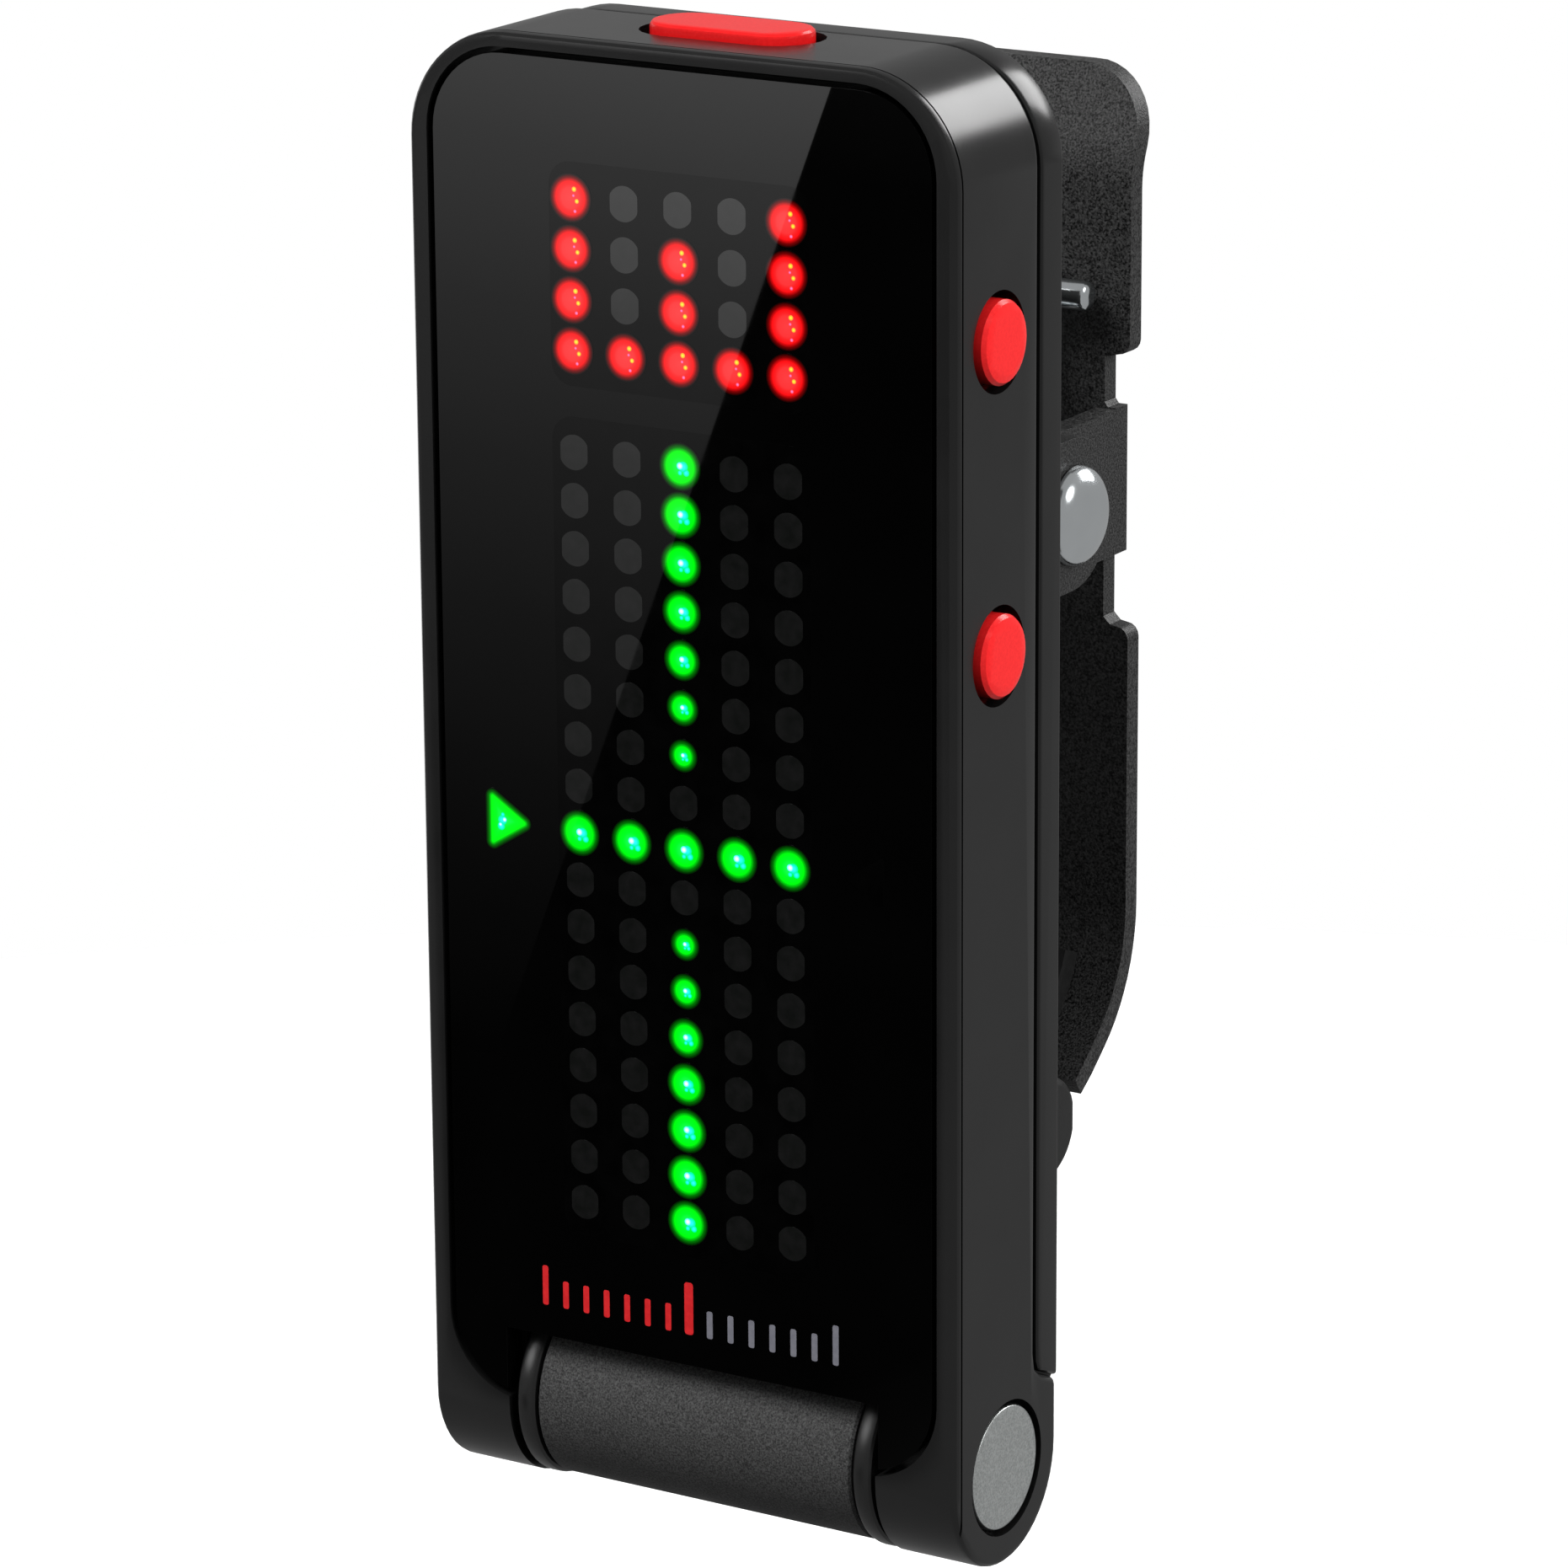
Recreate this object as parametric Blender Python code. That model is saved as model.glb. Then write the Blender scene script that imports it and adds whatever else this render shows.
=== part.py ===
"""Clip-on tuner: a display head folded against a sprung steel clamp.

Assembly frame, in millimetres: X to the right, Y from the front face back, Z up, with
Z = 0 at the lowest point of the hinge. An empty moves the whole assembly so that the
world origin is the middle of its base, and every mesh is stored in metres.
"""
import math

import bmesh
import bpy
from mathutils import Matrix, Vector

MM = 0.001
GAP = 0.3                  # clearance kept between neighbouring pieces

# Display head
HEAD_WIDTH = 23.5
HEAD_HEIGHT = 57.6
FRAME_DEPTH = 6.0          # front frame, from its face to the seam
SEAM = 0.4                 # groove between the frame and the back shell
HEAD_DEPTH = 8.0
CORNER = 4.2               # outer corner radius at the top of the head
WALL = 2.1
BEZEL_SIDE = 0.82
BEZEL_TOP = 0.55
BEZEL_LOW = 4.05           # height of the lower inner edge of the bezel
BEZEL_CORNER = 3.3
BEAD_FRONT = 0.40          # fine groove that sets the bead off from the side walls
BEAD_BACK = 0.50
BEAD_DEEP = 0.09
WINDOW_GAP = 0.25
WINDOW_FRONT = 0.06
WINDOW_BACK = 1.0
WINDOW_LOW = 6.95          # lower edge of the window between its two legs
FRAME_EDGE = 0.28          # rounding of the front frame's outer edges
SHELL_EDGE = 0.18
FRAME_FOOT = ((7.7, 6.25), (6.55, 6.75), (6.12, 7.15), (6.0, 7.8))    # seam above the cheeks, Y and Z
SHELL_FOOT = ((6.4, 8.0), (6.43, 7.25), (6.62, 6.80), (8.0, 6.19))

# Head hinge
EYE_R = 3.85               # round lower end of the two cheeks, and its axis in Y and Z
CHEEK_IN = 8.25
BARREL_R = 3.7
BARREL_HALF = 7.05
RING_R = 3.8
PIN_R = 1.5
CAP_R = 2.45
CAP_EDGE = 0.2

# Clamp
ARM_HALF = 7.0             # half the width of both arms
SHEET = 0.9                # thickness of the steel sheet
FRONT_ARM_Y = 8.65
REAR_ARM_Y = 22.5          # outer face of the rear arm
PIVOT_Y = 16.3
PIVOT_Z = 37.75
REAR_EAR_OUT = 6.43
FRONT_EAR = 0.75           # thickness of the front arm's ears
RIVET_R = 1.95             # domed heads of the clamp pin
RIVET_DOME = 0.95
ARM_SCREW_X = (-3.6, 3.6)
ARM_SCREW_Z = 4.5
WIRE_R = 0.6
COIL_R = 2.3
DEPTH = 24.3               # front face to the flared top of the rear arm

# Battery and controls
CELL_Z = 21.5
CELL_R = 10.0
BUTTON_Y = 3.1
BUTTON_Z = (47.5, 35.8)
TOP_BUTTON_Y = 3.95
TOP_BUTTON_RISE = 0.38     # how far each key stands out
BUTTON_RISE = 0.35
SHELL_SCREWS = ((-8.0, 51.6), (8.0, 51.6))

BLACK = (0.030, 0.030, 0.032)
RED = (0.80, 0.020, 0.022)
STEEL = (0.62, 0.63, 0.65)


# ---------------------------------------------------------------- outlines
def arc(cx, cy, radius, start, end, steps=12):
    """Points on an arc, angles in degrees."""
    angles = [math.radians(start + (end - start) * i / steps) for i in range(steps + 1)]
    return [(cx + radius * math.cos(a), cy + radius * math.sin(a)) for a in angles]


def rounded_rect(x0, x1, z0, z1, top, bottom=0.0, steps=12):
    """Rectangle with one radius for the upper corners and one for the lower ones."""
    points = arc(x1 - top, z1 - top, top, 0, 90, steps)
    points += arc(x0 + top, z1 - top, top, 90, 180, steps)
    if bottom > 0:
        points += arc(x0 + bottom, z0 + bottom, bottom, 180, 270, steps)
        points += arc(x1 - bottom, z0 + bottom, bottom, 270, 360, steps)
    else:
        points += [(x0, z0), (x1, z0)]
    return points


def stadium(cx, cy, half_straight, radius, steps=10):
    """Long hole with round ends, lying along the first axis."""
    right = arc(cx + half_straight, cy, radius, -90, 90, steps)
    left = arc(cx - half_straight, cy, radius, 90, 270, steps)
    return right + left


# ---------------------------------------------------------------- solids
def solid(points, depth_range, axis):
    """Prism of an outline, as a bmesh in millimetres.

    The outline lies in the plane across `axis`: XZ for Y, YZ for X and XY for Z.
    """
    place = {
        "X": lambda u, v, d: (d, u, v),
        "Y": lambda u, v, d: (u, d, v),
        "Z": lambda u, v, d: (u, v, d),
    }[axis]
    low, high = depth_range
    bm = bmesh.new()
    first = [bm.verts.new(place(u, v, low)) for u, v in points]
    second = [bm.verts.new(place(u, v, high)) for u, v in points]
    bm.faces.new(first)
    bm.faces.new(list(reversed(second)))
    for i in range(len(points)):
        j = (i + 1) % len(points)
        bm.faces.new((first[j], first[i], second[i], second[j]))
    bmesh.ops.recalc_face_normals(bm, faces=bm.faces)
    return bm


def box(x, y, z):
    """Block between three pairs of limits."""
    return solid([(x[0], z[0]), (x[1], z[0]), (x[1], z[1]), (x[0], z[1])], y, "Y")


def turned(profile, centre, axis, segments=40):
    """Solid turned about an axis through `centre`, from (distance, radius) pairs."""
    frames = {
        "X": lambda d, a, r: (d, centre[0] + r * math.cos(a), centre[1] + r * math.sin(a)),
        "Y": lambda d, a, r: (centre[0] + r * math.cos(a), d, centre[1] + r * math.sin(a)),
    }
    place = frames[axis]
    angles = [2 * math.pi * i / segments for i in range(segments)]
    bm = bmesh.new()
    rings = []
    for distance, radius in profile:
        rings.append([bm.verts.new(place(distance, a, radius)) for a in angles])
    for k in range(len(rings) - 1):
        for i in range(segments):
            j = (i + 1) % segments
            bm.faces.new((rings[k][i], rings[k][j], rings[k + 1][j], rings[k + 1][i]))
    bm.faces.new(rings[0])
    bm.faces.new(list(reversed(rings[-1])))
    bmesh.ops.recalc_face_normals(bm, faces=bm.faces)
    return bm


def tube_ring(low, high, inner, outer, centre, segments=40):
    """Plain bush about an axis along X."""
    bm = bmesh.new()
    rings = []
    for distance, radius in ((low, outer), (high, outer), (high, inner), (low, inner)):
        ring = []
        for i in range(segments):
            a = 2 * math.pi * i / segments
            y = centre[0] + radius * math.cos(a)
            z = centre[1] + radius * math.sin(a)
            ring.append(bm.verts.new((distance, y, z)))
        rings.append(ring)
    for k in range(4):
        following = rings[(k + 1) % 4]
        for i in range(segments):
            j = (i + 1) % segments
            bm.faces.new((rings[k][i], rings[k][j], following[j], following[i]))
    bmesh.ops.recalc_face_normals(bm, faces=bm.faces)
    return bm


# ---------------------------------------------------------------- objects
def clear_scene():
    for obj in list(bpy.data.objects):
        bpy.data.objects.remove(obj, do_unlink=True)


def material(name, color, roughness, metallic=0.0):
    mat = bpy.data.materials.new(name)
    mat.use_nodes = True
    shader = mat.node_tree.nodes["Principled BSDF"]
    shader.inputs["Base Color"].default_value = (*color, 1.0)
    shader.inputs["Roughness"].default_value = roughness
    shader.inputs["Metallic"].default_value = metallic
    return mat


def empty(name, location, parent=None):
    obj = bpy.data.objects.new(name, None)
    bpy.context.scene.collection.objects.link(obj)
    obj.parent = parent
    obj.location = Vector(location) * MM
    return obj


def add(name, bm, mat, parent, pivot=(0.0, 0.0, 0.0)):
    """Make an object whose origin is `pivot`, given in its parent's frame."""
    mesh = bpy.data.meshes.new(name)
    bm.transform(Matrix.Scale(MM, 4) @ Matrix.Translation(-Vector(pivot)))
    bm.to_mesh(mesh)
    bm.free()
    obj = bpy.data.objects.new(name, mesh)
    bpy.context.scene.collection.objects.link(obj)
    obj.parent = parent
    obj.location = Vector(pivot) * MM
    if mat:
        mesh.materials.append(mat)
        mesh.shade_smooth()
        mesh.set_sharp_from_angle(angle=math.radians(35))
    return obj


def combine(obj, bm, operation, label):
    """Add a Boolean with a hidden tool body that shares the object's frame."""
    tool = add(obj.name + "_" + label, bm, None, obj.parent)
    tool.hide_render = True
    tool.display_type = "WIRE"
    modifier = obj.modifiers.new(label, "BOOLEAN")
    modifier.operation = operation
    modifier.solver = "EXACT"
    modifier.object = tool
    return obj


def cut(obj, bm, label):
    return combine(obj, bm, "DIFFERENCE", label)


def join(obj, bm, label):
    return combine(obj, bm, "UNION", label)


def keep(obj, bm, label):
    return combine(obj, bm, "INTERSECT", label)


def soften(obj, width, segments=2, angle=40):
    """Round the sharp edges of the shape made so far."""
    bevel = obj.modifiers.new("edge_radius", "BEVEL")
    bevel.width = width * MM
    bevel.segments = segments
    bevel.limit_method = "ANGLE"
    bevel.angle_limit = math.radians(angle)
    return obj


# ---------------------------------------------------------------- display head
def bezel_outline(inset=0.0):
    half = HEAD_WIDTH / 2 - BEZEL_SIDE - inset
    top = HEAD_HEIGHT - BEZEL_TOP - inset
    low = BEZEL_LOW + inset
    radius = BEZEL_CORNER - inset
    return rounded_rect(-half, half, low, top, radius, radius)


def bead_groove():
    """Band round the outside of the frame that cuts the fine groove behind its bead."""
    half = HEAD_WIDTH / 2
    outer = rounded_rect(-half - 1, half + 1, -2, HEAD_HEIGHT + 1, CORNER + 1, 0.0, 16)
    deep = BEAD_DEEP
    inner = rounded_rect(-half + deep, half - deep, -2.5, HEAD_HEIGHT - deep, CORNER - deep, 0.0, 16)
    bm = bmesh.new()
    rings = []
    for points, y in ((outer, BEAD_FRONT), (outer, BEAD_BACK), (inner, BEAD_BACK), (inner, BEAD_FRONT)):
        rings.append([bm.verts.new((u, y, v)) for u, v in points])
    count = len(outer)
    for k in range(4):
        following = rings[(k + 1) % 4]
        for i in range(count):
            j = (i + 1) % count
            bm.faces.new((rings[k][i], rings[k][j], following[j], following[i]))
    bmesh.ops.recalc_face_normals(bm, faces=bm.faces)
    return bm


def front_frame(mat, head):
    half = HEAD_WIDTH / 2
    side = [(0, HEAD_HEIGHT), (0, EYE_R)]
    side += arc(EYE_R, EYE_R, EYE_R, 180, 360, 24)[1:]
    side += [*FRAME_FOOT, (FRAME_DEPTH, HEAD_HEIGHT)]
    obj = add("front_frame", solid(side, (-half - 1, half + 1), "X"), mat, head)
    outline = rounded_rect(-half, half, -1, HEAD_HEIGHT, CORNER, 0.0, 16)
    keep(obj, solid(outline, (-1, HEAD_DEPTH + 1), "Y"), "outline")
    soften(obj, FRAME_EDGE, 3)
    cut(obj, bead_groove(), "bead_groove")
    lip = 1.35
    lip_shape = rounded_rect(-half + lip, half - lip, 9.0, HEAD_HEIGHT - lip, CORNER - lip)
    join(obj, solid(lip_shape, (FRAME_DEPTH - 1, 6.8), "Y"), "lip")
    room = rounded_rect(-half + WALL, half - WALL, 9.4, HEAD_HEIGHT - WALL, CORNER - WALL)
    cut(obj, solid(room, (-1, HEAD_DEPTH), "Y"), "room")
    cell_room = [(1.6, CELL_R + GAP), (HEAD_DEPTH, CELL_R + GAP)]
    cut(obj, turned(cell_room, (0, CELL_Z), "Y", 64), "cell_room")
    cut(obj, solid(bezel_outline(), (-1, WINDOW_BACK + GAP), "Y"), "window_seat")
    slot = box((-CHEEK_IN, CHEEK_IN), (-1, HEAD_DEPTH + 1), (-1, 8.0))
    cut(obj, slot, "barrel_slot")
    cut(obj, turned([(-half + 0.4, 1.8), (half - 0.4, 1.8)], (EYE_R, EYE_R), "X"), "pin_bore")
    for sign, label in ((-1, "left"), (1, "right")):
        recess = [(sign * (half - 1.0), CAP_R + 0.2), (sign * (half + 1), CAP_R + 0.2)]
        cut(obj, turned(recess, (EYE_R, EYE_R), "X", 56), "cap_recess_" + label)
    for index, z in enumerate(BUTTON_Z):
        hole = [(half - WALL - 1, 1.9), (half + 1, 1.9)]
        cut(obj, turned(hole, (BUTTON_Y, z), "X"), "button_hole_" + str(index))
        flange_room = box((8.5, 10.7), (1.35, 4.85), (z - 2.7, z + 2.7))
        cut(obj, flange_room, "flange_room_" + str(index))
    hole = stadium(0, TOP_BUTTON_Y, 1.95, 1.8)
    cut(obj, solid(hole, (HEAD_HEIGHT - WALL - 1, HEAD_HEIGHT + 1), "Z"), "top_button_hole")
    flange_room = box((-4.6, 4.6), (2.3, 5.6), (HEAD_HEIGHT - WALL - 1, HEAD_HEIGHT - 1.2))
    cut(obj, flange_room, "top_flange_room")
    return obj


def back_shell(mat, head):
    half = HEAD_WIDTH / 2 - 0.12
    top = HEAD_HEIGHT - 0.12
    front = FRAME_DEPTH + SEAM
    side = [*SHELL_FOOT, (HEAD_DEPTH, top), (front, top)]
    obj = add("back_shell", solid(side, (-half - 1, half + 1), "X"), mat, head)
    outline = rounded_rect(-half, half, 0, top, CORNER, 0.0, 16)
    keep(obj, solid(outline, (front - 1, HEAD_DEPTH + 1), "Y"), "outline")
    soften(obj, SHELL_EDGE, 3)
    inset = 0.95
    room = rounded_rect(-half + inset, half - inset, 8.8, top - inset, CORNER - inset)
    cut(obj, solid(room, (front - 1, HEAD_DEPTH - 0.85), "Y"), "room")
    slot = box((-CHEEK_IN, CHEEK_IN), (front - 1, HEAD_DEPTH + 1), (0, 8.3))
    cut(obj, slot, "barrel_slot")
    mouth = [(front - 1, CELL_R + 0.7), (HEAD_DEPTH + 1, CELL_R + 0.7)]
    cut(obj, turned(mouth, (0, CELL_Z), "Y", 64), "battery_mouth")
    for index, (x, z) in enumerate(SHELL_SCREWS):
        hole = [(front - 1, 1.0), (HEAD_DEPTH + 1, 1.0)]
        cut(obj, turned(hole, (x, z), "Y", 20), "screw_hole_" + str(index))
        seat = [(HEAD_DEPTH - 0.45, 1.5), (HEAD_DEPTH + 1, 1.5)]
        cut(obj, turned(seat, (x, z), "Y", 24), "screw_seat_" + str(index))
    return obj


def window(mat, head):
    obj = add("window", solid(bezel_outline(WINDOW_GAP), (WINDOW_FRONT, WINDOW_BACK), "Y"), mat, head)
    notch = box((-CHEEK_IN - 0.1, CHEEK_IN + 0.1), (-1, WINDOW_BACK + 1), (0, WINDOW_LOW))
    cut(obj, notch, "barrel_notch")
    return obj


def display(mats, head):
    """Two dot matrices and the two arrow lamps on the front of the board."""
    front, back = WINDOW_BACK + GAP, 1.85
    lower = box((-5.9, 5.9), (front, back), (11.0, 43.0))
    upper = box((-5.9, 5.9), (front, back), (44.5, 52.6))
    add("lower_dot_matrix", lower, mats["matrix"], head)
    add("upper_dot_matrix", upper, mats["matrix"], head)
    for sign, label in ((-1, "left"), (1, "right")):
        tip, base = sign * 7.1, sign * 8.7
        outline = [(tip, 27.3), (base, 28.35), (base, 26.25)]
        lamp = solid(outline, (front, back), "Y")
        add("arrow_lamp_" + label, lamp, mats["matrix"], head)


def electronics(mats, head):
    board_outline = rounded_rect(-9.3, 9.3, 10.0, 55.0, 3.0, 1.0)
    board = add("circuit_board", solid(board_outline, (2.15, 2.85), "Y"), mats["board"], head)
    cut(board, box((-2.6, 2.6), (2, 3), (53.6, 56)), "switch_notch")
    add("processor", box((-3.5, 3.5), (3.15, 4.05), (41.0, 48.0)), mats["chip"], head)
    add("audio_converter", box((-5.8, -1.8), (3.15, 3.95), (34.6, 38.6)), mats["chip"], head)
    crystal = solid(rounded_rect(0.4, 4.6, 35.6, 37.4, 0.8, 0.8, 6), (3.15, 4.15), "Y")
    add("timing_crystal", crystal, mats["steel"], head)
    sensor = turned([(6.35, 6.0), (6.6, 6.0)], (0, 41.5), "Y", 48)
    add("vibration_sensor", sensor, mats["brass"], head)
    names = ("upper_side_switch", "lower_side_switch")
    for name, z in zip(names, BUTTON_Z):
        add(name, box((6.2, 9.0), (3.15, 4.6), (z - 1.8, z + 1.8)), mats["steel"], head)
    add("top_switch", box((-2.2, 2.2), (3.15, 4.8), (50.6, 53.9)), mats["steel"], head)
    leaf = [(-3.0, 13.5), (3.0, 13.5), (1.0, 29.5), (-1.0, 29.5)]
    add("negative_contact", solid(leaf, (3.15, 3.35), "Y"), mats["steel"], head)
    bracket = [(3.15, 32.0), (6.3, 32.0), (6.3, 32.3), (3.45, 32.3), (3.45, 33.6), (3.15, 33.6)]
    add("positive_contact", solid(bracket, (-3.0, 3.0), "X"), mats["steel"], head)
    rim = CELL_R - 0.5
    cell = [(3.65, rim), (3.95, rim), (3.95, CELL_R), (6.65, CELL_R), (6.85, CELL_R - 0.2)]
    add("coin_cell", turned(cell, (0, CELL_Z), "Y", 56), mats["steel"], head)


def shell_screws(mat, head):
    for (x, z), label in zip(SHELL_SCREWS, ("left", "right")):
        body = [(5.0, 0.7), (HEAD_DEPTH - 0.4, 0.7), (HEAD_DEPTH - 0.15, 1.2), (HEAD_DEPTH - 0.05, 1.2)]
        obj = add("shell_screw_" + label, turned(body, (x, z), "Y", 20), mat, head)
        cut(obj, box((x - 0.9, x + 0.9), (HEAD_DEPTH - 0.25, HEAD_DEPTH + 1), (z - 0.15, z + 0.15)), "slot_a")


def screw_bosses(frame):
    """Pillars in the front frame that the two shell screws bite into."""
    for index, (x, z) in enumerate(SHELL_SCREWS):
        outer = math.copysign(HEAD_WIDTH / 2 - 1.6, x)
        inner = math.copysign(6.6, x)
        block = box((min(outer, inner), max(outer, inner)), (3.2, 5.9), (z - 1.1, 53.2))
        join(frame, block, "boss_" + str(index))
        bore = turned([(4.6, 1.0), (7.0, 1.0)], (x, z), "Y", 20)
        cut(frame, bore, "boss_bore_" + str(index))


def battery_cover(mat, axis):
    profile = [(7.2, CELL_R + 0.3), (HEAD_DEPTH - 0.2, CELL_R + 0.3), (HEAD_DEPTH, CELL_R + 0.1)]
    obj = add("battery_cover", turned(profile, (0, 0), "Y", 64), mat, axis)
    slot = solid(stadium(0, 0, 6.0, 0.9, 8), (HEAD_DEPTH - 0.4, HEAD_DEPTH + 1), "Y")
    cut(obj, slot, "coin_slot")


def round_button(name, mat, axis):
    """Side button: a domed cap on a stem, kept in by a flat flange."""
    tip = BUTTON_RISE
    dome = [(-1.6, 1.58), (tip - 0.22, 1.58), (tip - 0.06, 1.46), (tip, 1.25)]
    obj = add(name, turned(dome, (0, 0), "X", 36), mat, axis)
    join(obj, box((-2.0, -1.45), (-1.4, 1.4), (-2.3, 2.3)), "flange")


def top_button(mat, axis):
    key = solid(stadium(0, 0, 1.8, 1.52), (-1.9, TOP_BUTTON_RISE), "Z")
    obj = add("power_button", key, mat, axis)
    soften(obj, 0.22, 3)
    join(obj, box((-4.2, 4.2), (-1.3, 1.3), (-2.0, -1.6)), "flange")


# ---------------------------------------------------------------- head hinge
def hinge(mats, head, clip):
    centre = (EYE_R, EYE_R)
    half = HEAD_WIDTH / 2
    crown = 0.1
    barrel = [(-BARREL_HALF, BARREL_R - crown), (-BARREL_HALF + crown, BARREL_R)]
    barrel += [(BARREL_HALF - crown, BARREL_R), (BARREL_HALF, BARREL_R - crown)]
    obj = add("hinge_barrel", turned(barrel, centre, "X", 64), mats["cast"], clip)
    neck_back = FRONT_ARM_Y - GAP
    join(obj, box((-6.2, 6.2), (EYE_R, neck_back), (2.7, 6.3)), "neck")
    bore = [(-BARREL_HALF - 1, 2.5), (BARREL_HALF + 1, 2.5)]
    cut(obj, turned(bore, centre, "X"), "bore")
    for x in ARM_SCREW_X:
        thread = turned([(6.4, 1.0), (neck_back + 1, 1.0)], (x, ARM_SCREW_Z), "Y", 20)
        cut(obj, thread, "thread_" + ("left" if x < 0 else "right"))
    for sign, label in ((-1, "left"), (1, "right")):
        limits = sorted((sign * (BARREL_HALF + 0.1), sign * (CHEEK_IN - 0.25)))
        shape = tube_ring(limits[0], limits[1], PIN_R + GAP, RING_R, centre, 56)
        ring = add("barrel_ring_" + label, shape, mats["plastic"], clip)
        soften(ring, 0.24, 3)
        inner, outer = sign * (half - 0.68), sign * (half - 0.02)
        ease = 0.3 * CAP_EDGE
        disc = [(inner, CAP_R), (outer - sign * CAP_EDGE, CAP_R)]
        disc += [(outer - sign * ease, CAP_R - ease), (outer, CAP_R - CAP_EDGE)]
        add("hinge_cap_" + label, turned(disc, centre, "X", 56), mats["aluminium"], head)
    pin = half - 1.1
    add("hinge_pin", turned([(-pin, PIN_R), (pin, PIN_R)], centre, "X"), mats["steel"], head)
    sleeve = tube_ring(-6.2, 6.2, PIN_R + 0.28, 2.18, centre)
    obj = add("friction_sleeve", sleeve, mats["steel"], clip)
    cut(obj, box((-7, 7), (EYE_R - 0.35, EYE_R + 0.35), (EYE_R, EYE_R + 4)), "split")


# ---------------------------------------------------------------- clamp
def rear_path(offset, tip_cut=0.0):
    """Side profile of the rear arm, tip first, `offset` inside its outer face."""
    bend_r = 6.9
    bend_z = 20.6
    turn = 51.0
    centre_y = REAR_ARM_Y - bend_r
    run = 2.3 - tip_cut
    end_angle = -turn
    radius = bend_r - offset
    bend = arc(centre_y, bend_z, radius, end_angle, 0, 10)
    heading = math.radians(end_angle - 90)
    start_y, start_z = bend[0]
    tip = (start_y + run * math.cos(heading), start_z + run * math.sin(heading))
    flare_z, flare_angle, flare_r = 49.3, 25.0, 3.5
    outer = flare_r + offset
    flare = arc(REAR_ARM_Y + flare_r, flare_z, outer, 180, 180 - flare_angle, 5)
    rise = 3.4
    lean = math.radians(90 - flare_angle)
    last_y, last_z = flare[-1]
    top = (last_y + rise * math.cos(lean), last_z + rise * math.sin(lean))
    return [tip] + bend + flare + [top]


def rear_outline(side):
    """Half of the flat outline of the rear arm, from its tip up; side is +1 or -1."""
    wide, neck, ear = ARM_HALF, 5.9, REAR_EAR_OUT
    r = 0.5
    points = [(wide - 0.4, 10.0), (wide, 14.4)]
    points += arc(wide - r, 32.0 - r, r, 0, 90, 4)
    points += [(neck + 0.3, 32.05), (neck, 32.35), (neck, 34.9), (ear, 34.9), (ear, 40.75)]
    points += [(neck + 0.15, 40.75), (neck, 40.95), (neck, 42.75)]
    points += arc(wide - r, 42.9 + r, r, -90, 0, 4)
    points += arc(wide - 3.0, 53.9 - 3.0, 3.0, 0, 90, 10)
    return [(side * x, z) for x, z in points]


def rear_arm(mat, axis, pivot):
    sheet = rear_path(0.0) + list(reversed(rear_path(SHEET)))
    obj = add("rear_arm", solid(sheet, (-ARM_HALF - 1, ARM_HALF + 1), "X"), mat, axis, pivot)
    flat = rear_outline(1) + list(reversed(rear_outline(-1)))
    keep(obj, solid(flat, (10, 30), "Y"), "flat_outline")
    low, high = PIVOT_Z - 2.85, PIVOT_Z + 2.95
    ear = [(REAR_ARM_Y - 0.45, high), (PIVOT_Y, high)]
    ear += arc(PIVOT_Y, PIVOT_Z, 2.85, 95, 265, 12) + [(PIVOT_Y, low), (REAR_ARM_Y - 0.45, low)]
    for sign, label in ((-1, "left"), (1, "right")):
        limits = sorted((sign * (REAR_EAR_OUT - SHEET), sign * REAR_EAR_OUT))
        join(obj, solid(ear, limits, "X"), "ear_" + label)
    bore = [(-10, 1.25), (10, 1.25)]
    cut(obj, turned(bore, (PIVOT_Y, PIVOT_Z), "X", 28), "pivot_bore")
    return obj


def front_arm(mat, clip):
    back = FRONT_ARM_Y + SHEET
    outline = rounded_rect(-ARM_HALF, ARM_HALF, 2.6, 53.2, 2.8, 1.2)
    obj = add("front_arm", solid(outline, (FRONT_ARM_Y, back), "Y"), mat, clip)
    ear = [(FRONT_ARM_Y, PIVOT_Z + 3.0), (FRONT_ARM_Y, PIVOT_Z - 3.0)]
    ear += arc(PIVOT_Y, PIVOT_Z, 3.0, -90, 90, 20)
    inner = REAR_EAR_OUT + GAP
    for sign, label in ((-1, "left"), (1, "right")):
        limits = sorted((sign * inner, sign * (inner + FRONT_EAR)))
        join(obj, solid(ear, limits, "X"), "ear_" + label)
    cut(obj, turned([(-10, 1.25), (10, 1.25)], (PIVOT_Y, PIVOT_Z), "X", 28), "pivot_bore")
    for x in ARM_SCREW_X:
        hole = turned([(FRONT_ARM_Y - 1, 1.0), (back + 1, 1.0)], (x, ARM_SCREW_Z), "Y", 20)
        cut(obj, hole, "screw_hole_" + ("left" if x < 0 else "right"))
    return obj


def arm_screws(mat, clip):
    head_y = FRONT_ARM_Y + SHEET + 0.28
    for x, label in zip(ARM_SCREW_X, ("left", "right")):
        body = [(6.7, 0.7), (head_y, 0.7), (head_y, 1.5), (head_y + 0.45, 1.5), (head_y + 0.7, 1.1)]
        obj = add("arm_screw_" + label, turned(body, (x, ARM_SCREW_Z), "Y", 24), mat, clip)
        cut(obj, box((x - 2, x + 2), (head_y + 0.4, head_y + 2), (ARM_SCREW_Z - 0.2, ARM_SCREW_Z + 0.2)), "slot_a")


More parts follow.
